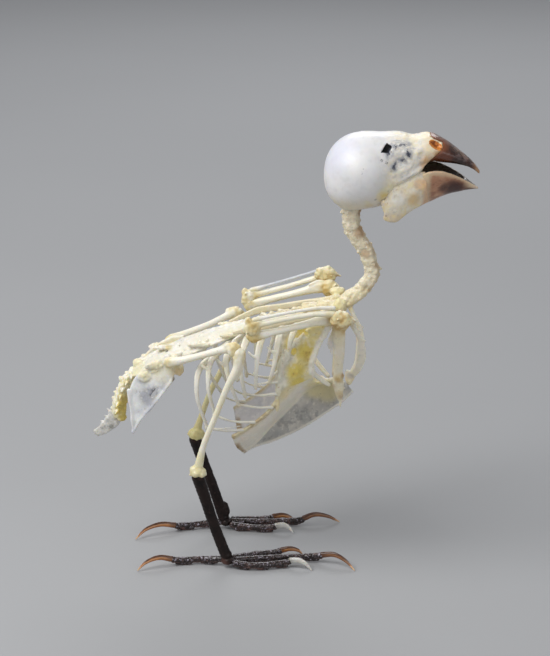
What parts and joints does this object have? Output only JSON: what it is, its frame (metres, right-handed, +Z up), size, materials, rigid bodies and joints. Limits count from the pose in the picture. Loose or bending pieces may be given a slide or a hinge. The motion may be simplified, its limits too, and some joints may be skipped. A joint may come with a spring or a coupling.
{
  "type": "munia skeleton",
  "caption": "Still, life-size skeleton of a small finch standing on both feet, with folded wing bones, open ribs, a keeled breastbone, a horny bill and dried dark feet.",
  "frame": {"origin": "centre of the outline at floor level, under the bird", "axes": "+X where the bill points, +Y to the bird's left, +Z up"},
  "size_m": [0.0606, 0.0224, 0.0697],
  "materials": {
    "skull_bone": "polished thin bone with a waxy gloss",
    "yellow_bone": "dry bone with yellowed gristle",
    "ivory_bone": "dry ivory bone, satin",
    "waxy_bone": "waxy greasy bone",
    "pale_bone": "thin translucent bone",
    "dark_horn": "glossy dark horn",
    "pink_horn": "glossy pinkish horn",
    "dark_skin": "dried scaly skin, glossy",
    "tan_claw": "translucent claw horn",
    "silver_claw": "pale claw horn"
  },
  "bodies": {
    "root": {"skull": "skull_bone", "upper_bill": "dark_horn", "mandible": "waxy_bone", "lower_bill": "pink_horn", "neck_upper": "waxy_bone", "neck_lower": "waxy_bone", "rib_cage_right": "pale_bone", "rib_cage_left": "pale_bone", "sternum": "pale_bone", "coracoid_right": "ivory_bone", "coracoid_left": "ivory_bone", "furcula": "ivory_bone", "scapula_right": "ivory_bone", "scapula_left": "ivory_bone", "humerus_right": "yellow_bone", "ulna_right": "yellow_bone", "radius_right": "ivory_bone", "wrist_right": "yellow_bone", "humerus_left": "yellow_bone", "ulna_left": "yellow_bone", "radius_left": "ivory_bone", "wrist_left": "yellow_bone", "pelvis": "waxy_bone", "tail_vertebrae": "yellow_bone", "tail_fan": "waxy_bone", "femur_right": "yellow_bone", "tibiotarsus_right": "yellow_bone", "tarsus_right": "dark_skin", "hallux_right": "dark_skin", "hallux_claw_right": "tan_claw", "toe_2_right": "dark_skin", "toe_2_claw_right": "tan_claw", "toe_3_right": "dark_skin", "toe_3_claw_right": "tan_claw", "toe_4_right": "dark_skin", "toe_4_claw_right": "silver_claw", "femur_left": "yellow_bone", "tibiotarsus_left": "yellow_bone", "tarsus_left": "dark_skin", "hallux_left": "dark_skin", "hallux_claw_left": "tan_claw", "toe_2_left": "dark_skin", "toe_2_claw_left": "silver_claw", "toe_3_left": "dark_skin", "toe_3_claw_left": "tan_claw", "toe_4_left": "dark_skin", "toe_4_claw_left": "tan_claw"}
  },
  "joints": []
}
